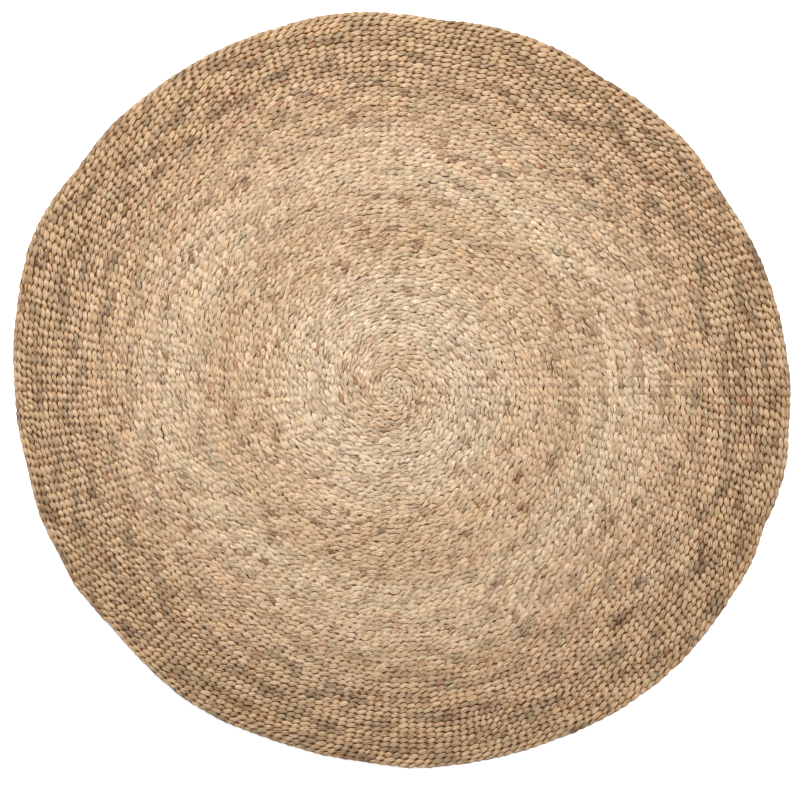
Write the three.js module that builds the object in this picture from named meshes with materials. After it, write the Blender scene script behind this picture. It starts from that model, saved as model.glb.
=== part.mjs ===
import * as THREE from 'three';

// A round rug of twined water hyacinth, lying flat on the floor.
// Millimetres, +Z up. The underside is on z = 0, and the middle of the rug's box is on the Z axis.
// Rows of twisted stems wind outward from the eye, clockwise seen from above, and each row stands up as a rib.
// The last row is closed on itself and binds the edge.

// Driving dimensions
const MEAN_RADIUS = 750; // from the eye to the edge, taken all round
const THICKNESS = 12; // at the top of a row
const GROOVE_DEPTH = 2.6; // between two rows
const ROW_PITCH_EYE = 8.5; // width of a row near the eye
const ROW_PITCH_EDGE = 10.4; // width of a row at the edge
const WOUND_ROWS = 78; // turns of the winding, without the edge row

// The edge row's section, outward from its inner groove: place as a share of its width, and height
const EDGE_ROW_SECTION = [
  { name: 'crown', across: 0.45, height: 11.6 },
  { name: 'shoulder', across: 0.86, height: 9 },
  { name: 'side', across: 1, height: 5.4 },
  { name: 'foot', across: 0.78, height: 0 },
];

// Steps round the rug: more of them in longer rows, and most at the edge, which shows the rug's outline
const STEPS_ROUND = [
  { upToRow: 14, steps: 14 },
  { upToRow: 38, steps: 28 },
  { upToRow: WOUND_ROWS, steps: 42 },
];
const EDGE_STEPS = 126;

// Slow waves of the radius round the rug: how many in a turn, height, and the angle of a crest
const OUTLINE_WAVES = [
  { name: 'lopsided', count: 1, height: 14.4, crest: 359 },
  { name: 'oval', count: 2, height: 18.9, crest: 333.8 },
];
// Bulges (+) and dents (-) that the hand work left in the edge: angle, half width and height
const EDGE_BULGES = [
  { angle: 0, halfWidth: 3, height: 2.5 },
  { angle: 12, halfWidth: 5, height: 3 },
  { angle: 31, halfWidth: 4, height: -4.5 },
  { angle: 41, halfWidth: 5, height: 3 },
  { angle: 56, halfWidth: 4, height: -4 },
  { angle: 68, halfWidth: 6, height: 4 },
  { angle: 82, halfWidth: 5, height: -7 },
  { angle: 98, halfWidth: 6, height: 3 },
  { angle: 121, halfWidth: 7, height: -4.2 },
  { angle: 143, halfWidth: 3, height: -4 },
  { angle: 155, halfWidth: 9, height: 10 },
  { angle: 164, halfWidth: 5, height: 2.5 },
  { angle: 181, halfWidth: 6, height: -5.5 },
  { angle: 193, halfWidth: 6, height: -7.5 },
  { angle: 211, halfWidth: 2, height: 4 },
  { angle: 220, halfWidth: 4, height: -3.5 },
  { angle: 239, halfWidth: 11, height: 6 },
  { angle: 256, halfWidth: 4, height: -2 },
  { angle: 273, halfWidth: 4, height: 2.5 },
  { angle: 294, halfWidth: 5, height: -3 },
  { angle: 310, halfWidth: 3, height: 2 },
  { angle: 326, halfWidth: 8, height: -2 },
  { angle: 339.5, halfWidth: 2.5, height: -6 },
  { angle: 348, halfWidth: 5, height: 4.5 },
];
const WAVE_REACH = 2; // the waves fade towards the eye with this power of the radius
const BULGE_REACH = 9; // the bulges fade faster

const MATERIAL = { color: 0xc9a67c, roughness: 0.82, metalness: 0 };

const degrees = THREE.MathUtils.degToRad;

// Shortest way round from one angle to another, in degrees
const turnBetween = (from, to) => THREE.MathUtils.euclideanModulo(to - from + 180, 360) - 180;

// How far the edge stands outside the mean circle, at an angle in degrees
function waveHeight(angle) {
  return OUTLINE_WAVES.reduce(
    (sum, wave) => sum + wave.height * Math.cos(wave.count * degrees(angle - wave.crest)),
    0,
  );
}

function bulgeHeight(angle) {
  return EDGE_BULGES.reduce((sum, bulge) => {
    const away = turnBetween(bulge.angle, angle) / bulge.halfWidth;
    return sum + bulge.height * Math.exp(-away * away);
  }, 0);
}

// Radius of the winding on an even, round rug, after that many rows: the rows widen steadily outward
function evenRadius(rows) {
  const reach = (ROW_PITCH_EDGE - ROW_PITCH_EYE) / MEAN_RADIUS;
  return (ROW_PITCH_EYE / reach) * (Math.exp(reach * rows) - 1);
}

// A point of the real, uneven rug from its radius on the even one, measured from the eye
function place(radius, angle, height) {
  const share = radius / MEAN_RADIUS;
  const uneven = waveHeight(angle) * share ** WAVE_REACH + bulgeHeight(angle) * share ** BULGE_REACH;
  const distance = radius + uneven;
  return new THREE.Vector3(distance * Math.cos(degrees(angle)), distance * Math.sin(degrees(angle)), height);
}

// Lines of the top: line 2r is the groove inside row r and line 2r + 1 its crest. A wound line starts at angle 0,
// goes once round clockwise and ends where the line two further out starts, so that the rows are one winding.
const EDGE_LINE = 2 * WOUND_ROWS;

function stepsOf(line) {
  return line >= EDGE_LINE ? EDGE_STEPS : STEPS_ROUND.find((zone) => line < 2 * zone.upToRow).steps;
}

// The share of a row by which a line moves outward in its turn: the last crest runs out against the edge row
function advance(line) {
  if (line >= EDGE_LINE) return 0;
  return line === EDGE_LINE - 1 ? 0.5 : 1;
}

class Surface {
  constructor() {
    this.points = [];
    this.triangles = [];
  }

  add(point) {
    return this.points.push(point) - 1;
  }

  face(a, b, c) {
    const corners = new Set([a, b, c]);
    if (corners.size === 3) this.triangles.push(a, b, c);
  }

  // Joins two lines of points that run the same way round, each point with its share of the turn.
  // The faces turn up when the second line is outside the first and both run clockwise.
  zip(inner, outer) {
    let i = 0;
    let j = 0;
    while (i < inner.length - 1 || j < outer.length - 1) {
      const nextInner = i < inner.length - 1 ? inner[i + 1].turn : Infinity;
      const nextOuter = j < outer.length - 1 ? outer[j + 1].turn : Infinity;
      if (nextInner < nextOuter) {
        this.face(inner[i].index, inner[i + 1].index, outer[j].index);
        i += 1;
      } else {
        this.face(inner[i].index, outer[j + 1].index, outer[j].index);
        j += 1;
      }
    }
  }

  geometry() {
    const geometry = new THREE.BufferGeometry();
    geometry.setAttribute('position', new THREE.Float32BufferAttribute(this.points.flatMap((p) => p.toArray()), 3));
    geometry.setIndex(this.triangles);
    geometry.computeVertexNormals();
    return geometry;
  }
}

// The wound lines, from the eye to the inner groove of the edge row
function woundLines(surface) {
  const lines = [];
  for (let line = 0; line <= EDGE_LINE; line += 1) {
    const steps = stepsOf(line);
    const points = [];
    for (let step = 0; step < steps; step += 1) {
      const turn = step / steps;
      const rows = line / 2 + advance(line) * turn;
      const height = line % 2 === 0 ? THICKNESS - GROOVE_DEPTH : THICKNESS;
      points.push({ turn, index: surface.add(place(evenRadius(rows), -360 * turn, height)) });
    }
    lines.push(points);
  }
  // Each line ends on the start of the line that it runs into
  lines.forEach((points, line) => {
    const into = line >= EDGE_LINE - 1 ? EDGE_LINE : line + 2;
    points.push({ turn: 1, index: lines[into][0].index });
  });
  return lines;
}

// The closed lines of the edge row, from its crown down to the floor
function edgeLines(surface) {
  const inner = evenRadius(WOUND_ROWS);
  return EDGE_ROW_SECTION.map((section) => {
    const radius = inner + section.across * (MEAN_RADIUS - inner);
    const points = [];
    for (let step = 0; step < EDGE_STEPS; step += 1) {
      const turn = step / EDGE_STEPS;
      points.push({ turn, index: surface.add(place(radius, -360 * turn, section.height)) });
    }
    return [...points, { turn: 1, index: points[0].index }];
  });
}

function rugGeometry() {
  const surface = new Surface();
  const wound = woundLines(surface);
  const lines = [...wound, ...edgeLines(surface)];
  for (let line = 0; line < lines.length - 1; line += 1) surface.zip(lines[line], lines[line + 1]);

  // The eye: the first line starts in it and runs once round it
  const [firstLine, firstCrest] = wound;
  const eye = firstLine[0].index;
  for (let step = 1; step < firstLine.length - 1; step += 1) {
    surface.face(eye, firstLine[step + 1].index, firstLine[step].index);
  }
  surface.face(eye, firstCrest[0].index, firstLine[firstLine.length - 1].index);

  // The flat underside
  const middle = surface.add(place(0, 0, 0));
  const foot = lines[lines.length - 1];
  for (let step = 0; step < foot.length - 1; step += 1) {
    surface.face(middle, foot[step].index, foot[step + 1].index);
  }

  return surface.geometry();
}

// The rug is wound about its eye, which isn't quite in its middle, and then laid with the middle of its box on Z
function wovenBody() {
  const geometry = rugGeometry();
  const mesh = new THREE.Mesh(geometry, new THREE.MeshStandardMaterial(MATERIAL));
  mesh.name = 'woven_body';
  geometry.computeBoundingBox();
  const middle = geometry.boundingBox.getCenter(new THREE.Vector3());
  mesh.position.set(-middle.x, -middle.y, 0);
  return mesh;
}

const rug = new THREE.Group();
rug.add(wovenBody());

export default rug;
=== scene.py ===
"""A round rug of twined water hyacinth, lying on a pale floor and seen from straight above.

One pair of plies of dried stems winds outward from the eye, clockwise. Between two hidden stakes one ply
crosses over the top as a stitch while the other crosses underneath, and at each stake the two change places.
Everything is in metres, with +Z up, and the underside of the rug is on z = 0.
"""

import math

import bpy
import numpy as np
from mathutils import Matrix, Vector


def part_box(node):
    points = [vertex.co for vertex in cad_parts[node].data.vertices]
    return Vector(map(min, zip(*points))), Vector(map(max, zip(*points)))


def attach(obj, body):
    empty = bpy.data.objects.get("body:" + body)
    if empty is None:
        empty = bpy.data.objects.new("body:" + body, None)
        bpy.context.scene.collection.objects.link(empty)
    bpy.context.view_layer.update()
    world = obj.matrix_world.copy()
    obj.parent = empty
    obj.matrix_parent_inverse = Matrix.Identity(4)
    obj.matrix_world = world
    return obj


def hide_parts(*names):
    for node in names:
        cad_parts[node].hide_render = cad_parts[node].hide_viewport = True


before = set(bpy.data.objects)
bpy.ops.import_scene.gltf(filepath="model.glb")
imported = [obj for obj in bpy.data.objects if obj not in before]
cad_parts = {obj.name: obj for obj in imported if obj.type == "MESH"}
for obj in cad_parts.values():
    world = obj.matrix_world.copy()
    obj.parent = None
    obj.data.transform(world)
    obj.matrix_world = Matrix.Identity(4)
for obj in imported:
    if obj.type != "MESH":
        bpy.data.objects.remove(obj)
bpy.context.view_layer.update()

MM = 0.001

# The rug, as the solid has it
SOLID = "woven_body"
ROW_PITCH_EYE = 8.5 * MM
ROW_PITCH_EDGE = 10.4 * MM
WOUND_ROWS = 78
WAVE_REACH = 2  # the slow waves of the outline fade towards the eye with this power of the radius
BULGE_REACH = 9  # its bulges fade faster
FLOOR_HEIGHT = 0.0
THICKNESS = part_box(SOLID)[1][2]
MIDDLE_HEIGHT = THICKNESS / 2

# Where the winding starts, in turns before its first whole one, curled up tight
EYE_START = 0.32
# Where it ends, as a share of its last turn, and the share of a turn over which its end tapers off
WINDING_END = 0.55
END_TAPER = 0.03

# Stitches
STITCH_LENGTH_EYE = 14 * MM
STITCH_LENGTH = 17.2 * MM
LENGTH_SETTLES_AT = 60 * MM  # the radius where stitches reach their full length
STITCH_JITTER = (0.24, 0.19)  # of a stitch's length, in tight and in loose rows
STAKE_SMOOTHING = 8  # passes for each row, after new stakes go in
SMOOTHING_SHARE = 0.5  # of the way that a pass moves a stake to the middle between its neighbours
FEWEST_STITCHES = 4  # in a row
GAP_CHOICE = (0.85, 1)  # chance in which gap counts as the widest
LOOSE_FROM, LOOSE_TO = 0.58, 0.9  # shares of the radius between which the rows turn from tight to loose

# A ply on its way over the stakes: widths and sides are shares of the row's width, and each pair is for tight
# and for loose rows. Its head, where it comes up on the inward side of a stake, is blunt. It lies over the
# narrow tail of the ply before, which goes down on the outward side.
FULL_WIDTH = (0.575, 0.515)  # half widths
HEAD_WIDTH = (0.44, 0.39)
TAIL_WIDTH = (0.24, 0.21)
HEAD_SIDE = (-0.16, -0.12)
TAIL_SIDE = (0.28, 0.25)
HEAD_LIFT, TAIL_LIFT = 0.9 * MM, -0.9 * MM
HEAD_SKEW = 1.25
FULLNESS = 0.8
SWING = 2.9 * MM
HALF_HEIGHT = 3.0 * MM
STAKE_HALF_HEIGHT = (4.4 * MM, 3.2 * MM)
WIDTH_SPREAD = (0.09, 0.06)  # how uneven the stitches are, in tight and in loose rows
HEAD_SPREAD = (0.14, 0.09)
LEAN_SPREAD = (0.45, 0.28)
CROWN_SPREAD = (0.12, 0.09)
WIDEST_DRAW = 2  # no draw is further from its middle than this many spreads
TOP_PARTS = (0, 0.14, 0.34, 0.58, 0.8)  # where a ply's rings are along a stitch on top, and underneath
UNDER_PARTS = (0, 0.5)
SECTION = [(-1, 0), (-0.74, -0.9), (0.74, -0.9), (1, 0), (0.74, 0.9), (-0.74, 0.9)]  # a flattened stem
LEFT_CORNER, RIGHT_CORNER = 0, 3
ROUNDNESS = 0.6  # of the shading across the flat sides, 1 being that of a round stem
SECTION_REACH = 1.03  # so that the flat sides between the corners keep the ply's width

# Seeds, one for each thing that is left to chance
STAKE_SEED = 11
SHAPE_SEED = 23
RING_SHAPE_SEED = 24
ROW_DRIFT_SEED = 37
PATCH_SEED = 38
HUE_SEED = 39
BATCH_SEED = 40
STREAK_SEED = 41
COLOUR_SEED = 53
RING_COLOUR_SEED = 54
LOOSE_SEED = 71


def even_radius(rows):
    """Radius of an even winding after that many rows: the rows widen steadily outward."""
    reach = (ROW_PITCH_EDGE - ROW_PITCH_EYE) / MEAN_RADIUS
    return ROW_PITCH_EYE / reach * (np.exp(reach * rows) - 1)


def row_pitch(radius):
    return ROW_PITCH_EYE + (ROW_PITCH_EDGE - ROW_PITCH_EYE) * radius / MEAN_RADIUS


OUTLINE_STEPS = 720
SAME_HEIGHT = 0.1 * MM  # points no further apart in height lie on one level
WAVE_COUNTS = (1, 2)  # how many of each slow wave go round the outline


class Outline:
    """The eye and the uneven edge, read from the solid."""

    def __init__(self, solid):
        points = np.array([v.co for v in solid.data.vertices])
        underside = points[points[:, 2] < SAME_HEIGHT, :2]
        self.eye = underside[np.argmin(np.hypot(*underside.T))]
        reach = np.hypot(*(points[:, :2] - self.eye).T)
        widest = points[np.argmax(reach), 2]
        side = np.abs(points[:, 2] - widest) < SAME_HEIGHT
        away = points[side, :2] - self.eye
        angle = np.arctan2(away[:, 1], away[:, 0])
        self.angles = np.linspace(-math.pi, math.pi, OUTLINE_STEPS + 1)[:-1]
        order = np.argsort(angle)
        self.reach = np.interp(self.angles, angle[order], reach[side][order], period=math.tau)
        self.mean = self.reach.mean()
        self.waves = sum(self._wave(count) for count in WAVE_COUNTS)
        self.bulges = self.reach - self.mean - self.waves

    def _wave(self, count):
        wave = np.exp(1j * count * self.angles)
        return 2 * np.real((self.reach * np.conj(wave)).mean() * wave)

    def place(self, radius, angle):
        """x and y on the uneven rug, from the radius on an even one and the angle in radians."""
        share = radius / self.mean
        waves = np.interp(angle, self.angles, self.waves, period=math.tau)
        bulges = np.interp(angle, self.angles, self.bulges, period=math.tau)
        distance = radius + waves * share**WAVE_REACH + bulges * share**BULGE_REACH
        x = self.eye[0] + distance * np.cos(angle)
        y = self.eye[1] + distance * np.sin(angle)
        return x, y


outline = Outline(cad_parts[SOLID])
MEAN_RADIUS = outline.mean
WOUND_RADIUS = even_radius(WOUND_ROWS)


class Drift:
    """Slow wandering of the rows, a sum of waves over the rug, so that neighbours wander together."""

    def __init__(self, seed, height, counts, lengths, waves=9):
        rng = np.random.default_rng(seed)
        self.counts = rng.integers(counts[0], counts[1] + 1, waves)
        self.rates = rng.choice((-1, 1), waves) * math.tau / rng.uniform(lengths[0], lengths[1], waves)
        self.phases = rng.uniform(0, math.tau, waves)
        self.height = height / math.sqrt(waves / 2)

    def at(self, radius, angle):
        found = np.zeros_like(radius)
        for count, rate, phase in zip(self.counts, self.rates, self.phases):
            found += np.cos(count * angle + rate * radius + phase)
        return self.height * found


ROW_DRIFT = Drift(ROW_DRIFT_SEED, 0.9 * MM, (3, 26), (0.09, 0.4))


def smooth_step(x):
    x = np.clip(x, 0, 1)
    return x * x * (3 - 2 * x)


def rows_in_turn(turn):
    """How many rows lie inside the edge at this part of a turn: the last one ends at WINDING_END."""
    part = turn % 1
    return WOUND_ROWS + part - smooth_step((part - WINDING_END) / END_TAPER + 0.5)


def wound_place(turn, across):
    """Radius and angle of a point of the winding, across metres outside its row's middle line."""
    crowding = WOUND_ROWS / rows_in_turn(turn)
    return even_radius((turn + 0.5) * crowding) + across, -math.tau * turn


def room_for_row(turn):
    """The share of its full width that a row has: it tapers off where the winding ends."""
    crowding = WOUND_ROWS / rows_in_turn(turn)
    return np.clip(WOUND_ROWS - turn * crowding, 0, 1)


def stitch_length(radius):
    settled = smooth_step(radius / LENGTH_SETTLES_AT)
    return STITCH_LENGTH_EYE + (STITCH_LENGTH - STITCH_LENGTH_EYE) * settled


def widened(stakes, wanted, rng):
    """Puts new stakes into the widest gaps, and evens out the rest a little."""
    while len(stakes) < wanted:
        gaps = np.diff(np.append(stakes, 1))
        widest = np.argmax(gaps * rng.uniform(*GAP_CHOICE, len(gaps)))
        stakes = np.insert(stakes, widest + 1, stakes[widest] + gaps[widest] / 2)
    for _ in range(STAKE_SMOOTHING):
        before = np.roll(stakes, 1)
        before[0] -= 1
        after = np.roll(stakes, -1)
        after[-1] += 1
        evened = (1 - SMOOTHING_SHARE) * stakes + SMOOTHING_SHARE / 2 * (before + after)
        evened[0] = 0
        stakes = evened
    return stakes


def wound_stakes():
    """Where the winding passes each stake, in turns from the eye.

    The stakes run outward through all the rows.
    """
    rng = np.random.default_rng(STAKE_SEED)
    stakes = np.array([0.0])
    passed = []
    for row in range(WOUND_ROWS):
        radius = even_radius(row + 1)
        wanted = max(FEWEST_STITCHES, round(math.tau * radius / stitch_length(radius)))
        stakes = widened(stakes, wanted, rng)
        passed.append(row + stakes)
    passed = np.concatenate([[-EYE_START], *passed])
    passed = passed[passed < WOUND_ROWS - 1 + WINDING_END + END_TAPER / 2]
    gaps = np.diff(passed)
    jitter = between(STITCH_JITTER, looseness(even_radius(passed[1:-1])))
    passed[1:-1] += rng.uniform(-1, 1, len(passed) - 2) * jitter * np.minimum(gaps[1:], gaps[:-1])
    return passed


def ring_stakes(radius, length, rng):
    """The same for a closed row, with an even number of stitches, so that each ply closes on itself."""
    count = 2 * round(math.tau * radius / length / 2)
    passed = np.linspace(0, 1, count + 1)
    passed[1:-1] += rng.uniform(-1, 1, count - 1) * STITCH_JITTER[1] / count
    return passed


def between(pair, share):
    """From the first value of a pair to its second."""
    return pair[0] + (pair[1] - pair[0]) * share


def looseness(radius):
    """From 0 where the rows are packed tight, to 1 where they are looser, towards the edge."""
    return smooth_step((radius / MEAN_RADIUS - LOOSE_FROM) / (LOOSE_TO - LOOSE_FROM))


class Run:
    """A run of twined stitches: its path, and the size of each stitch along it."""

    def __init__(self, passed, place, rng, closed=False, room=1.0, size=1.0, height=MIDDLE_HEIGHT):
        self.passed = passed
        self.place = place
        self.closed = closed
        self.height = height
        self.size = size
        radius = place(passed, 0)[0]
        loose = looseness(radius)
        width = row_pitch(radius) * room * size
        self.head_width = width * between(HEAD_WIDTH, loose) * spread(rng, HEAD_SPREAD, loose)
        self.tail_width = width * between(TAIL_WIDTH, loose) * spread(rng, HEAD_SPREAD, loose)
        self.head_side = width * between(HEAD_SIDE, loose) * spread(rng, LEAN_SPREAD, loose)
        self.tail_side = width * between(TAIL_SIDE, loose) * spread(rng, LEAN_SPREAD, loose)
        self.half_width = (width * between(FULL_WIDTH, loose) * spread(rng, WIDTH_SPREAD, loose))[:-1]
        self.crown = spread(rng, CROWN_SPREAD, loose)[:-1]
        if closed:
            for sizes in (self.head_width, self.tail_width, self.head_side, self.tail_side):
                sizes[-1] = sizes[0]
        self.radius = radius[:-1]
        self.angle = -math.tau * passed[:-1]
        self.loose = loose


def spread(rng, shares, loose):
    """Factors around 1, none of them more than twice the share away, for stitches in tight to loose rows."""
    return 1 + between(shares, loose) * rng.normal(0, 1, len(loose)).clip(-WIDEST_DRAW, WIDEST_DRAW)


def ply_parts(run, ply):
    """Each ring of a ply: its stitch, how far along that stitch it is, and whether it is on top."""
    count = len(run.passed) - 1
    on_top = (np.arange(count) + ply) % 2 == 0
    parts = [TOP_PARTS if top else UNDER_PARTS for top in on_top]
    stitch = np.repeat(np.arange(count), [len(part) for part in parts])
    part = np.concatenate(parts)
    if not run.closed:
        stitch = np.append(stitch, count - 1)
        part = np.append(part, 1.0)
    return stitch, part, on_top[stitch]


def ply_rings(run, ply):
    """The points of a ply's rings, and what the colours need to know of each ring.

    On top a ply goes from its head, high on the inward side, to its tail, lower on the outward side.
    Underneath it goes back from its tail to its head.
    """
    stitch, part, on_top = ply_parts(run, ply)
    after = stitch + 1
    towards_head = np.where(on_top, 1 - part, part)
    at_tail = np.where(on_top, after, stitch)
    at_head = np.where(on_top, stitch, after)
    sway = (1 - np.cos(math.pi * towards_head)) / 2
    swing = np.sin(math.pi * towards_head**HEAD_SKEW)
    turn = between((run.passed[stitch], run.passed[after]), part)
    across = between((run.tail_side[at_tail], run.head_side[at_head]), sway)
    stake_width = between((run.tail_width[at_tail], run.head_width[at_head]), towards_head)
    half_width = between((stake_width, run.half_width[stitch]), swing**FULLNESS)
    half_height = run.size * between((between(STAKE_HALF_HEIGHT, run.loose[stitch]), HALF_HEIGHT), swing)
    side = np.where(on_top, 1, -1)
    middle = run.height + between((TAIL_LIFT, HEAD_LIFT), towards_head)
    middle = middle + side * run.size * SWING * run.crown[stitch] * swing
    rings = np.empty((len(stitch), len(SECTION), 3))
    for corner, (beside, up) in enumerate(SECTION):
        radius, way = run.place(turn, across + SECTION_REACH * half_width * beside)
        radius = radius + ROW_DRIFT.at(radius, way)
        rings[:, corner, 0], rings[:, corner, 1] = outline.place(radius, way)
        rings[:, corner, 2] = middle + SECTION_REACH * half_height * up
    rings[:, :, 2] = rings[:, :, 2].clip(FLOOR_HEIGHT, None)
    return rings, stitch, part, on_top


def to_linear(colour):
    """A colour as seen on a screen, 0 to 255, to the shader's own numbers."""
    share = np.asarray(colour) / 255
    return np.where(share <= 0.04045, share / 12.92, ((share + 0.055) / 1.055) ** 2.4)


# The rows' usual colour as seen on a screen, by share of the radius: darker rows lie further out.
# Listed, and adjusted until the rendered rings came close to the photograph's in mean colour.
ROW_COLOURS = [
    (0.00, (197, 178, 150)),
    (0.08, (191, 168, 139)),
    (0.18, (194, 175, 149)),
    (0.26, (193, 173, 147)),
    (0.34, (191, 166, 136)),
    (0.47, (182, 157, 127)),
    (0.56, (191, 170, 142)),
    (0.64, (188, 164, 136)),
    (0.74, (182, 156, 126)),
    (0.84, (180, 153, 123)),
    (0.92, (175, 149, 118)),
    (1.00, (175, 148, 117)),
]
# Kinds of stem: tint of the usual colour, and how common each is from the eye to the edge
STEMS = [
    {"name": "usual", "tint": (1.00, 1.00, 1.00), "common": (6, 6)},
    {"name": "bleached", "tint": (1.06, 1.08, 1.11), "common": (3, 1.5)},
    {"name": "honey", "tint": (1.00, 0.97, 0.92), "common": (2, 2)},
    {"name": "rose", "tint": (0.96, 0.91, 0.89), "common": (1.5, 1.5)},
    {"name": "grey green", "tint": (0.90, 0.93, 0.90), "common": (1, 2.5)},
    {"name": "brown", "tint": (0.80, 0.74, 0.68), "common": (0.5, 1)},
]
STEM_STITCHES = 6  # how many stitches a stem lasts, on average
STEM_TONE, STITCH_TONE = 0.035, 0.035  # how much lighter or darker a stem or a stitch is than the usual one
LIGHTEST = 1.08  # no stitch's tone is above this
# Slow changes over the rug: darker and lighter patches, batches of stems, and warmer and cooler places
PATCHES = Drift(PATCH_SEED, 0.055, (4, 60), (0.03, 0.12), waves=30)
BATCHES = Drift(BATCH_SEED, 0.03, (0, 4), (0.02, 0.12), waves=20)
HUES = Drift(HUE_SEED, 0.012, (3, 50), (0.03, 0.12), waves=30)
LOOSE_PATCHES = 2  # how much stronger the patches are in loose rows, over 1 in tight ones
# Marks that colour a whole stitch, the share of stitches that have each, and how strongly they do
MARK_STRENGTH = (0.2, 0.8)
MARKS = [
    {"name": "rust", "colour": (140, 92, 66), "share": 0.011},
    {"name": "umber", "colour": (112, 86, 64), "share": 0.005},
]
# Dark streaks of painted shade, in the thin grooves between the stems of a ply, gather in patches: how
# readily a stitch takes them, from the noise's own middle
SHADE_STREAK_PATCHES = Drift(STREAK_SEED, 0.045, (4, 40), (0.03, 0.12), waves=30)
STREAK_SPREAD = 0.04


def chosen(weights, draws):
    """For each draw from 0 to 1, which column of the weights it falls in."""
    edges = np.cumsum(weights, axis=1)
    return (draws[:, None] * edges[:, -1:] > edges).sum(axis=1)


def row_colour(share):
    """The rows' usual colour, in the shader's numbers."""
    shares = [place for place, _ in ROW_COLOURS]
    colours = to_linear([colour for _, colour in ROW_COLOURS])
    return np.column_stack([np.interp(share, shares, channel) for channel in colours.T])


def stitch_colours(run, rng):
    """The colour of each stitch of one ply, in the shader's numbers."""
    count = len(run.radius)
    share = run.radius / MEAN_RADIUS
    starts = rng.random(count) < 1 / STEM_STITCHES
    starts[0] = True
    stem = np.cumsum(starts) - 1
    first = np.flatnonzero(starts)
    common = np.array([kind["common"] for kind in STEMS])
    kinds = chosen(between(common.T, share[first, None]), rng.random(len(first)))
    tints = np.array([kind["tint"] for kind in STEMS])[kinds][stem]
    patches = PATCHES.at(run.radius, run.angle) * (1 + LOOSE_PATCHES * run.loose[:-1])
    tone = 1 + patches + BATCHES.at(run.radius, run.angle)
    tone *= (1 + STEM_TONE * rng.normal(size=len(first)))[stem]
    tone *= 1 + STITCH_TONE * rng.normal(size=count)
    tone = np.minimum(tone, LIGHTEST)
    hue = HUES.at(run.radius, run.angle)
    warmth = np.column_stack([1 + hue, np.ones(count), 1 - hue])
    colours = row_colour(share) * tints * warmth * tone[:, None]
    for mark in MARKS:
        marked = rng.random(count) < mark["share"]
        strength = rng.uniform(*MARK_STRENGTH, (marked.sum(), 1))
        colours[marked] = between((colours[marked], to_linear(mark["colour"])), strength)
    return colours


def stitch_shade_streaks(run, rng):
    """How readily each stitch of one ply takes dark streaks of painted shade."""
    return SHADE_STREAK_PATCHES.at(run.radius, run.angle) + STREAK_SPREAD * rng.normal(size=len(run.radius))


def ring_colours(colours, stitch, part):
    """Each ring has its stitch's colour, and halfway between two stitches' colours where they meet."""
    before = colours[np.maximum(stitch - 1, 0)]
    meets = (part == 0)[:, None]
    return np.where(meets, (colours[stitch] + before) / 2, colours[stitch])


# Heights above and below a run's middle between which a ply's colour turns into the painted shade of a gap.
# The upper one is for tight and for loose rows
GAP_FROM = 0.8 * MM
GAP_TO = (4.3 * MM, 6.2 * MM)


def open_depths(rings, run, stitch):
    """For each point, from 0 down in a gap to 1 on the surface."""
    height = np.abs(rings[:, :, 2] - run.height) / run.size
    open_at = between(GAP_TO, run.loose[stitch])[:, None]
    return smooth_step((height - GAP_FROM) / (open_at - GAP_FROM))


FIBRE_LENGTH = 12 * MM  # of a streak
FIBRE_REACH = (3.6, 2.0)  # how far across and up a ply's section reaches in the noise that streaks it


def fibre_places(along):
    """Where each point is in the noise that streaks the stems, which is drawn out along the ply."""
    places = np.empty((len(along), len(SECTION), 3))
    places[:, :, 0] = along[:, None] / FIBRE_LENGTH
    places[:, :, 1:] = np.array(SECTION) * FIBRE_REACH
    return places


class Ply:
    """One ply of a run, ready to be cut into pieces."""

    def __init__(self, run, index, colour_rng):
        rings, stitch, part, on_top = ply_rings(run, index)
        self.rings = rings
        self.stitch = stitch
        self.closed = run.closed
        self.colours = ring_colours(stitch_colours(run, colour_rng), stitch, part)
        self.streaks = stitch_shade_streaks(run, colour_rng)[stitch]
        self.depths = open_depths(rings, run, stitch)
        steps = np.linalg.norm(np.diff(rings.mean(axis=1), axis=0, append=rings[:1].mean(axis=1)), axis=1)
        self.along = np.append(0, np.cumsum(steps))
        self.mapped = np.append(0, np.cumsum(steps * np.where(on_top, 1, UNDER_MAP_SHARE)))


# The map for baking: a ply lies in it stretched out, with less room for what doesn't show from above
BAKE_MAP = "OFBake"
UNDER_MAP_SHARE = 0.35
SIDE_ROOM = (0.35, 0.5, 0.35, 0.7, 1.4, 0.7)  # for each side of the section, from the first corner round
MAP_GIRTH = 16 * MM
STRIP_FILL = 0.9
CAP_REACH = 0.3  # of a cap's share of the top strip


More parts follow.
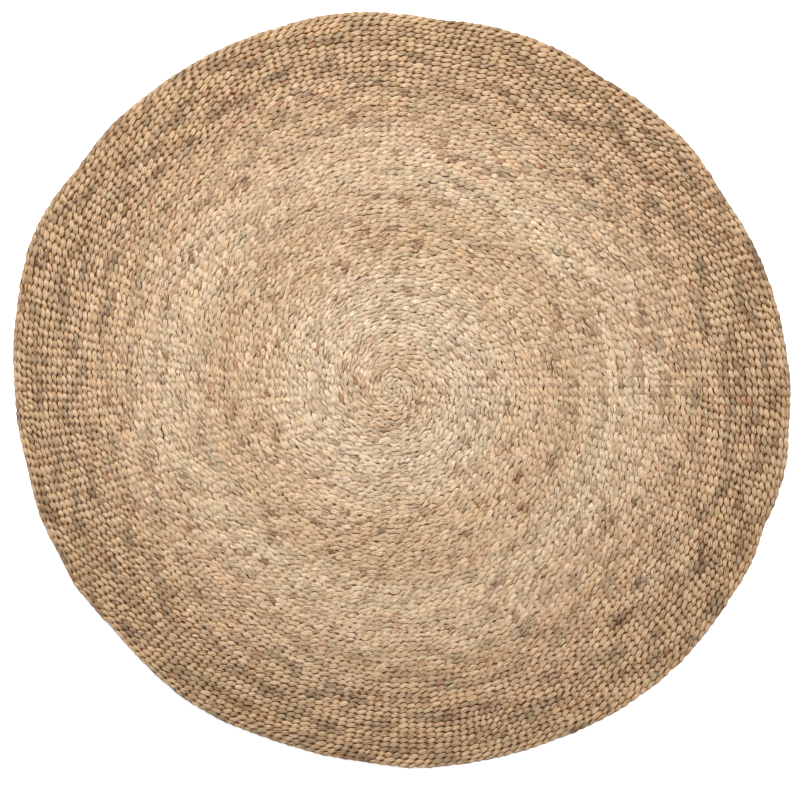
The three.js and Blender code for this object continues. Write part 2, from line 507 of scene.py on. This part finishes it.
class Cloth:
    """Mesh data gathered strand by strand, for one piece."""

    def __init__(self):
        self.rings, self.colours, self.streaks, self.depths, self.fibres = [], [], [], [], []
        self.quads, self.caps, self.mapped = [], [], []
        self.count = 0

    def add(self, rings, colours, streaks, depths, along, mapped, closed=False):
        amount, corners = rings.shape[:2]
        index = self.count + np.arange(amount * corners).reshape(amount, corners)
        after = np.roll(index, -1, axis=0)
        beside = np.roll(index, -1, axis=1)
        quads = np.stack([index, beside, np.roll(after, -1, axis=1), after], axis=-1)
        if not closed:
            quads = quads[:-1]
            self.caps += [index[0][::-1], index[-1]]
        self.quads.append(quads)
        self.mapped.append(mapped - mapped[0])
        self.rings.append(rings.reshape(-1, 3))
        self.colours.append(np.repeat(colours, corners, axis=0))
        self.streaks.append(np.repeat(streaks, corners))
        self.depths.append(depths.ravel())
        self.fibres.append(fibre_places(along).reshape(-1, 3))
        self.count += amount * corners

    def bake_map(self):
        """Map corners for every quad and cap: strips one above the other, with the caps above them all."""
        longest = max(np.diff(mapped).max() for mapped in self.mapped)
        total = sum(mapped[-1] for mapped in self.mapped)
        strips = math.ceil(math.sqrt(total / MAP_GIRTH))
        length = total / strips
        low, high = np.cumsum([0, *SIDE_ROOM])[:-1], np.cumsum(SIDE_ROOM)
        low, high = (STRIP_FILL * side / sum(SIDE_ROOM) for side in (low, high))
        corners, done = [], 0.0
        for mapped, quads in zip(self.mapped, self.quads):
            start = done + mapped[: len(quads)]
            end = done + mapped[1 : len(quads) + 1]
            strip = np.minimum(np.floor(start / length), strips - 1)[:, None]
            left, right = ((x[:, None] - strip * length) / (length + longest) for x in (start, end))
            left, right = (x + 0 * low for x in (left, right))
            foot, head = ((strip + side) / (strips + 1) for side in (low, high))
            around = [left, foot, left, head, right, head, right, foot]
            corners.append(np.stack(around, axis=-1).reshape(-1, 2))
            done += mapped[-1]
        for place, cap in enumerate(self.caps):
            middle = np.array([(place + 0.5) / len(self.caps), (strips + 0.5) / (strips + 1)])
            reach = CAP_REACH / max(strips + 1, len(self.caps))
            way = math.tau * np.arange(len(cap)) / len(cap)
            corners.append(middle + reach * np.column_stack([np.cos(way), np.sin(way)]))
        return np.concatenate(corners)

    def flattened(self, mesh):
        """The mesh's own normals, turned up or down on the flat sides.

        Without the turn these would shade like round ones.
        """
        normals = np.empty(3 * self.count)
        mesh.vertices.foreach_get("normal", normals)
        normals = normals.reshape(-1, len(SECTION), 3)
        rings = np.concatenate(self.rings).reshape(-1, len(SECTION), 3)
        across = rings[:, RIGHT_CORNER] - rings[:, LEFT_CORNER]
        across /= np.linalg.norm(across, axis=1, keepdims=True)
        for corner, (_, up) in enumerate(SECTION):
            if up != 0:
                leaning = np.sum(normals[:, corner] * across, axis=1, keepdims=True)
                normals[:, corner] -= (1 - ROUNDNESS) * leaning * across
        normals /= np.linalg.norm(normals, axis=2, keepdims=True)
        return normals.reshape(-1, 3)

    def mesh(self, name):
        quads = np.concatenate([quads.reshape(-1, 4) for quads in self.quads])
        sizes = [4] * len(quads) + [len(cap) for cap in self.caps]
        corners = np.concatenate([quads.ravel(), *self.caps]).astype(np.int32)
        starts = np.cumsum([0, *sizes[:-1]]).astype(np.int32)
        mesh = bpy.data.meshes.new(name)
        mesh.vertices.add(self.count)
        mesh.vertices.foreach_set("co", np.concatenate(self.rings).ravel())
        mesh.loops.add(len(corners))
        mesh.loops.foreach_set("vertex_index", corners)
        mesh.polygons.add(len(starts))
        mesh.polygons.foreach_set("loop_start", starts)
        mesh.update(calc_edges=True)
        mesh.shade_smooth()
        mesh.normals_split_custom_set_from_vertices(self.flattened(mesh))
        colours = np.concatenate(self.colours)
        colours = np.column_stack([colours, np.ones(len(colours))])
        add_attribute(mesh, "stem_colour", "FLOAT_COLOR", "color", colours)
        add_attribute(mesh, "fibre", "FLOAT_VECTOR", "vector", np.concatenate(self.fibres))
        # how readily each point takes the painted shade of the dark streaks
        add_attribute(mesh, "dark_streak_shade", "FLOAT", "value", np.concatenate(self.streaks))
        # depth sets how much painted shade a point takes, down in the gaps
        add_attribute(mesh, "depth", "FLOAT", "value", np.concatenate(self.depths))
        mesh.uv_layers.new(name=BAKE_MAP).data.foreach_set("uv", self.bake_map().ravel())
        return mesh


def add_attribute(mesh, name, kind, field, values):
    mesh.attributes.new(name, kind, "POINT").data.foreach_set(field, values.ravel())


def add_piece(name, mesh, material):
    piece = bpy.data.objects.new(name, mesh)
    bpy.context.scene.collection.objects.link(piece)
    mesh.materials.append(material)
    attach(piece, "root")
    return piece


def ply_piece(name, ply, material, first=0, last=None):
    """A piece with the part of a ply from one stitch to another."""
    start = np.searchsorted(ply.stitch, first)
    end = len(ply.stitch) if last is None else np.searchsorted(ply.stitch, last) + 1
    kept = slice(start, end)
    lengths = slice(start, end + 1) if ply.closed else kept
    cloth = Cloth()
    cloth.add(
        ply.rings[kept],
        ply.colours[kept],
        ply.streaks[kept],
        ply.depths[kept],
        ply.along[kept],
        ply.mapped[lengths],
        ply.closed,
    )
    return add_piece(name, cloth.mesh(name), material)


def add_node(tree, kind, inputs=None, **settings):
    """Adds a node, sets it up, and links or sets its inputs."""
    made = tree.nodes.new(kind)
    for name, value in settings.items():
        setattr(made, name, value)
    for socket, value in (inputs or {}).items():
        if isinstance(value, bpy.types.NodeSocket):
            tree.links.new(value, made.inputs[socket])
        else:
            made.inputs[socket].default_value = value
    return made


NOISE_ROUGHNESS = 0.6
UNIT = (0.0, 1.0)
# The sockets of a mix node that are for colours
MIX_FACTOR, MIX_FIRST, MIX_SECOND, MIX_RESULT = 0, 6, 7, 2


def noise(tree, place, scale, detail):
    inputs = {"Vector": place, "Scale": scale, "Detail": detail, "Roughness": NOISE_ROUGHNESS}
    return add_node(tree, "ShaderNodeTexNoise", inputs).outputs[0]


def map_range(tree, value, band, to=UNIT):
    """The value's way through a band, as a way through another one."""
    inputs = dict(enumerate((value, *band, *to)))
    return add_node(tree, "ShaderNodeMapRange", inputs).outputs[0]


def maths(tree, operation, first, second):
    return add_node(tree, "ShaderNodeMath", {0: first, 1: second}, operation=operation).outputs[0]


def mixed(tree, factor, first, second):
    """From the first colour, where the factor is 0, to the second, where it is 1."""
    inputs = {MIX_FACTOR: factor, MIX_FIRST: first, MIX_SECOND: second}
    return add_node(tree, "ShaderNodeMix", inputs, data_type="RGBA").outputs[MIX_RESULT]


def attribute(tree, name, output):
    return add_node(tree, "ShaderNodeAttribute", attribute_name=name).outputs[output]


def rgba(colour):
    return (*to_linear(colour), 1)


# Tints of a stem's own colour, and of painted shade in the creases, in dark streaks and down in the gaps
STREAK_TINT = (0.72, 0.62, 0.50)
LIGHT_TINT = (1.01, 1.07, 1.15)
CREASE_SHADE_TINT = (0.50, 0.40, 0.30)
DARK_STREAK_SHADE_TINT = (0.36, 0.26, 0.20)
SHADE_TINT = (0.58, 0.42, 0.25)
GAP_SHADE_TINT = (0.14, 0.07, 0.025)
WHITE = (1.0, 1.0, 1.0)

# Noise that is drawn out along the stems
STREAK_NOISE = {"scale": 1.0, "detail": 3.0}
FOLD_NOISE = {"scale": 0.6, "detail": 1.0}
DARK_NOISE = {"scale": 0.9, "detail": 1.0}
# Where in the noise each tint starts and ends, and where in the depth of a gap the painted shade starts and
# ends
STREAK_BAND = (0.36, 0.64)
FOLD_MIDDLE = 0.5  # a crease runs where the folds' noise has this value
CREASE_BAND = (0.0, 0.025)
DARK_BAND = (0.61, 0.66)
# The dark streaks are painted shade of the grooves between the stems
DARK_SHARE = (1.0, 0.1)  # of a stem's own colour that is left, outside and inside a dark streak
SHADE_BAND = (0.3, 0.65)
GAP_SHADE_BAND = (0.05, 0.42)
# How the surface takes the light
GLOSS_BAND = (0.3, 0.7)
STEM_ROUGHNESS = (0.75, 0.55)
STEM_BUMP = {"Strength": 0.7, "Distance": 0.4 * MM}
STEM_SPECULAR = 0.2


def tinted(tree, colour, share, tint, full=WHITE):
    """The colour times a tint where the share is 0, and times the full tint where it is 1."""
    tint = mixed(tree, share, (*tint, 1), (*full, 1))
    return add_node(tree, "ShaderNodeVectorMath", {0: colour, 1: tint}, operation="MULTIPLY").outputs[0]


def hyacinth_material():
    """Dried stems: streaked and creased along their length, with painted shade in the creases, in thin dark
    streaks between the stems, and down in the gaps, where they turn browner and darker.
    """
    material = bpy.data.materials.new("water_hyacinth")
    material.use_nodes = True
    tree = material.node_tree
    shader = tree.nodes["Principled BSDF"]
    fibre = attribute(tree, "fibre", "Vector")
    streaks = noise(tree, fibre, **STREAK_NOISE)
    folds = noise(tree, fibre, **FOLD_NOISE)
    crease = maths(tree, "ABSOLUTE", maths(tree, "SUBTRACT", folds, FOLD_MIDDLE), 0.0)
    crease = map_range(tree, crease, CREASE_BAND)
    dark = noise(tree, fibre, **DARK_NOISE)
    dark = maths(tree, "ADD", dark, attribute(tree, "dark_streak_shade", "Fac"))
    dark = map_range(tree, dark, DARK_BAND, DARK_SHARE)
    depth = attribute(tree, "depth", "Fac")
    shown = attribute(tree, "stem_colour", "Color")
    shown = tinted(tree, shown, map_range(tree, streaks, STREAK_BAND), STREAK_TINT, LIGHT_TINT)
    # Painted shade in the creases of the folded stems
    shown = tinted(tree, shown, crease, CREASE_SHADE_TINT)
    # Painted shade of the thin grooves between the stems of a ply, as dark streaks
    shown = tinted(tree, shown, dark, DARK_STREAK_SHADE_TINT)
    # Painted shade down in the gaps: browner, then darker, where the depth is low
    shown = tinted(tree, shown, map_range(tree, depth, SHADE_BAND), SHADE_TINT)
    shown = tinted(tree, shown, map_range(tree, depth, GAP_SHADE_BAND), GAP_SHADE_TINT)
    tree.links.new(shown, shader.inputs["Base Color"])
    tree.links.new(map_range(tree, streaks, GLOSS_BAND, STEM_ROUGHNESS), shader.inputs["Roughness"])
    relief = maths(tree, "ADD", streaks, crease)
    bump = add_node(tree, "ShaderNodeBump", {"Height": relief, **STEM_BUMP})
    tree.links.new(bump.outputs["Normal"], shader.inputs["Normal"])
    shader.inputs["Specular IOR Level"].default_value = STEM_SPECULAR
    return material


STAKE_NOISE = {"scale": 180.0, "detail": 4.0}
# Dark browns of painted shade, down between the stitches
STAKE_SHADE_COLOURS = ((58, 38, 24), (104, 74, 48))
STAKE_ROUGHNESS = (0.75, 0.95)
STAKE_BUMP = {"Strength": 0.5, "Distance": MM}


def stake_material():
    """The stakes inside the rug, coloured dark brown as painted shade, which show only as the dark of the
    gaps.
    """
    material = bpy.data.materials.new("hidden_stakes")
    material.use_nodes = True
    tree = material.node_tree
    shader = tree.nodes["Principled BSDF"]
    place = add_node(tree, "ShaderNodeTexCoord").outputs["Object"]
    grain = noise(tree, place, **STAKE_NOISE)
    colour = mixed(tree, grain, *(rgba(colour) for colour in STAKE_SHADE_COLOURS))
    tree.links.new(colour, shader.inputs["Base Color"])
    tree.links.new(map_range(tree, grain, GLOSS_BAND, STAKE_ROUGHNESS), shader.inputs["Roughness"])
    bump = add_node(tree, "ShaderNodeBump", {"Height": grain, **STAKE_BUMP})
    tree.links.new(bump.outputs["Normal"], shader.inputs["Normal"])
    return material


LAYER_INSET = 9 * MM  # from the edge
LAYER_HEIGHTS = (4.2 * MM, 6.2 * MM)
LAYER_STEPS = 180


def stake_layer(material):
    """The layer of stakes between the upper and the lower stitches, a whole sheet that darkens the gaps with
    painted shade, with its flat size and area.
    """
    angles = np.arange(LAYER_STEPS) * math.tau / LAYER_STEPS
    edge = np.column_stack(outline.place(np.full(LAYER_STEPS, MEAN_RADIUS - LAYER_INSET), angles))
    rings = [np.column_stack([edge, np.full(LAYER_STEPS, height)]) for height in LAYER_HEIGHTS]
    middles = [(*outline.eye, height) for height in LAYER_HEIGHTS]
    points = np.concatenate([*rings, middles])
    low, high = 2 * LAYER_STEPS, 2 * LAYER_STEPS + 1
    faces = []
    for step in range(LAYER_STEPS):
        after = (step + 1) % LAYER_STEPS
        faces.append((low, after, step))
        faces.append((high, step + LAYER_STEPS, after + LAYER_STEPS))
        faces.append((step, after, after + LAYER_STEPS, step + LAYER_STEPS))
    mesh = bpy.data.meshes.new("stake_layer")
    mesh.from_pydata(points.tolist(), [], faces)
    size = edge.max(axis=0) - edge.min(axis=0)
    after = np.roll(edge, -1, axis=0)
    area = abs(np.sum(edge[:, 0] * after[:, 1] - edge[:, 1] * after[:, 0])) / 2
    return add_piece("stake_layer", mesh, material), tuple(size), area


# The winding's pieces: zones by the radius where each ends, and two plies in each
ZONES = [("inner", 0.335), ("middle", 0.545), ("outer", MEAN_RADIUS)]
PLIES = ("first_ply", "second_ply")


def wound_pieces(material):
    """The winding, in one piece for each ply and zone."""
    shape_rng = np.random.default_rng(SHAPE_SEED)
    colour_rng = np.random.default_rng(COLOUR_SEED)
    passed = wound_stakes()
    run = Run(passed, wound_place, shape_rng, room=room_for_row(passed))
    pieces = []
    for index, ply_name in enumerate(PLIES):
        ply = Ply(run, index, colour_rng)
        first = 0
        for zone, ends_at in ZONES:
            last = None if ends_at == MEAN_RADIUS else int(np.searchsorted(run.radius, ends_at))
            pieces.append(ply_piece(f"{zone}_{ply_name}", ply, material, first, last))
            first = last
    return pieces


# The two closed rows at the edge: where the middle of each lies, and its size against the last wound row's
RINGS = [
    {"name": "edge_row", "radius": WOUND_RADIUS + 4.5 * MM, "height": 5.8 * MM, "size": 0.9},
    {"name": "side_row", "radius": MEAN_RADIUS - 4.4 * MM, "height": 4.6 * MM, "size": 0.78},
]
RING_STITCH_LENGTH = 19 * MM


def ring_place(radius):
    """A closed row's way round the rug."""
    def place(turn, across):
        return radius + across + 0 * turn, -math.tau * turn
    return place


def ring_pieces(material):
    shape_rng = np.random.default_rng(RING_SHAPE_SEED)
    colour_rng = np.random.default_rng(RING_COLOUR_SEED)
    pieces = []
    for ring in RINGS:
        passed = ring_stakes(ring["radius"], RING_STITCH_LENGTH, shape_rng)
        place = ring_place(ring["radius"])
        run = Run(passed, place, shape_rng, closed=True, size=ring["size"], height=ring["height"])
        for index, ply_name in enumerate(PLIES):
            ply = Ply(run, index, colour_rng)
            pieces.append(ply_piece(f"{ring['name']}_{ply_name}", ply, material))
    return pieces


# Ends of stems that lie loose on the rows or stand out at the edge: radius in mm and angle in degrees of both
# ends, half width and height above the rug's middle in mm, and colour
LOOSE_ENDS = [
    {
        "name": "twig",
        "ends": ((49.8, -34), (70.9, -19.7)),
        "half_width": 1.0,
        "lift": 7.6,
        "colour": (128, 88, 56),
    },
    {
        "name": "upper nub",
        "ends": ((742, 198.6), (754, 197.5)),
        "half_width": 1.5,
        "lift": 1.8,
        "colour": (205, 184, 150),
    },
    {
        "name": "lower nub",
        "ends": ((744, 196.6), (752.5, 197.3)),
        "half_width": 1.1,
        "lift": 0.5,
        "colour": (160, 130, 98),
    },
    {
        "name": "side",
        "ends": ((741, 63.2), (752, 60.8)),
        "half_width": 2.2,
        "lift": 1.2,
        "colour": (196, 176, 142),
    },
]
LOOSE_FIBRES = 110
LOOSE_RADII = (0.1, 0.98)  # shares of the radius between which they lie
LOOSE_LENGTHS = (7 * MM, 24 * MM)
LOOSE_LEAN = 2.5 * MM  # how far one leaves its row, either way
LOOSE_HALF_WIDTHS = (0.3 * MM, 0.55 * MM)
LOOSE_LIFT = 6.2 * MM
LOOSE_TONES = (0.5, 1.15)
LOOSE_TAPER = (0.35, 0.9, 1.0, 0.8, 0.3)  # of the width along a loose end


def loose_strand(ends, half_width, height):
    """Rings of a thin strand between two points, each a radius and an angle."""
    along = np.linspace(0, 1, len(LOOSE_TAPER))
    radius, angle = (between(pair, along) for pair in zip(*ends))
    middle = np.column_stack([*outline.place(radius, angle), np.full(len(along), height)])
    ahead = np.gradient(middle[:, :2], axis=0)
    ahead /= np.linalg.norm(ahead, axis=1, keepdims=True)
    across = np.column_stack([-ahead[:, 1], ahead[:, 0], np.zeros(len(along))])
    reach = half_width * np.array(LOOSE_TAPER)[:, None]
    rings = [middle + reach * (beside * across + up * np.array([0, 0, 1])) for beside, up in SECTION]
    return np.stack(rings, axis=1)


def add_loose_strand(cloth, rings, colour):
    amount = len(rings)
    steps = np.linalg.norm(np.diff(rings.mean(axis=1), axis=0), axis=1)
    along = np.append(0, np.cumsum(steps))
    colours = np.tile(colour, (amount, 1))
    cloth.add(rings, colours, np.zeros(amount), np.ones(rings.shape[:2]), along, along)


def loose_piece(material):
    """All the loose ends of stems, in one piece."""
    cloth = Cloth()
    for end in LOOSE_ENDS:
        ends = [(radius * MM, math.radians(angle)) for radius, angle in end["ends"]]
        rings = loose_strand(ends, end["half_width"] * MM, MIDDLE_HEIGHT + end["lift"] * MM)
        add_loose_strand(cloth, rings, to_linear(end["colour"]))
    rng = np.random.default_rng(LOOSE_SEED)
    for _ in range(LOOSE_FIBRES):
        share = math.sqrt(rng.uniform(*(share**2 for share in LOOSE_RADII)))
        radius, angle = share * MEAN_RADIUS, rng.uniform(0, math.tau)
        turned = rng.uniform(*LOOSE_LENGTHS) / radius
        ends = [(radius, angle), (radius + rng.uniform(-1, 1) * LOOSE_LEAN, angle + turned)]
        rings = loose_strand(ends, rng.uniform(*LOOSE_HALF_WIDTHS), MIDDLE_HEIGHT + LOOSE_LIFT)
        add_loose_strand(cloth, rings, row_colour(share) * rng.uniform(*LOOSE_TONES))
    return add_piece("loose_ends", cloth.mesh("loose_ends"), material)


FLOOR_REACH = 6.0
FLOOR_COLOUR = (0.95, 0.95, 0.95, 1)
FLOOR_ROUGHNESS = 0.9
FLOOR_SPECULAR = 0.1
FLOOR_GLOW = 0.2  # keeps the rug's shadow as faint as it is in the photograph


def floor():
    corners = [(FLOOR_REACH * x, FLOOR_REACH * y, 0) for x, y in ((-1, -1), (1, -1), (1, 1), (-1, 1))]
    mesh = bpy.data.meshes.new("floor")
    mesh.from_pydata(corners, [], [(0, 1, 2, 3)])
    piece = bpy.data.objects.new("floor", mesh)
    bpy.context.scene.collection.objects.link(piece)
    material = bpy.data.materials.new("pale_floor")
    material.use_nodes = True
    shader = material.node_tree.nodes["Principled BSDF"]
    shader.inputs["Base Color"].default_value = FLOOR_COLOUR
    shader.inputs["Roughness"].default_value = FLOOR_ROUGHNESS
    shader.inputs["Specular IOR Level"].default_value = FLOOR_SPECULAR
    shader.inputs["Emission Color"].default_value = (1, 1, 1, 1)
    shader.inputs["Emission Strength"].default_value = FLOOR_GLOW
    mesh.materials.append(material)
    return piece


# Soft lamps: place, width and power
LAMPS = [
    {"name": "key", "place": (-1.3, 2.9, 2.8), "width": 1.4, "power": 200},
    {"name": "fill", "place": (2.6, 0.8, 3.2), "width": 3.0, "power": 60},
]
SKY_STRENGTH = 0.98


def light_studio():
    for lamp in LAMPS:
        light = bpy.data.lights.new(lamp["name"], "AREA")
        light.shape = "DISK"
        light.size = lamp["width"]
        light.energy = lamp["power"]
        holder = bpy.data.objects.new(lamp["name"], light)
        holder.location = lamp["place"]
        holder.rotation_euler = Vector(lamp["place"]).to_track_quat("Z", "Y").to_euler()
        bpy.context.scene.collection.objects.link(holder)
    world = bpy.data.worlds.new("studio")
    world.use_nodes = True
    sky = world.node_tree.nodes["Background"]
    sky.inputs["Color"].default_value = (1, 1, 1, 1)
    sky.inputs["Strength"].default_value = SKY_STRENGTH
    bpy.context.scene.world = world
    bpy.context.scene.view_settings.view_transform = "Standard"


# The photograph's framing: how much of the floor its width takes in, and its middle from the rug's
PICTURE_WIDTH = 1.566
PICTURE_MIDDLE = (-0.003, -0.0205)
CAMERA_HEIGHT = 6.0
SENSOR_WIDTH = 36  # in the camera's own millimetres
CLIP_END = 100


def add_camera():
    camera = bpy.data.cameras.new("camera")
    camera.sensor_width = SENSOR_WIDTH
    camera.lens = SENSOR_WIDTH * (CAMERA_HEIGHT - THICKNESS) / PICTURE_WIDTH
    camera.clip_end = CLIP_END
    holder = bpy.data.objects.new("camera", camera)
    holder.location = (*PICTURE_MIDDLE, CAMERA_HEIGHT)
    bpy.context.scene.collection.objects.link(holder)
    bpy.context.scene.camera = holder


def main():
    add_camera()
    light_studio()
    ground = floor()
    hyacinth = hyacinth_material()
    rows = wound_pieces(hyacinth) + ring_pieces(hyacinth) + [loose_piece(hyacinth)]
    layer, flat, area = stake_layer(stake_material())
    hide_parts(SOLID)


main()
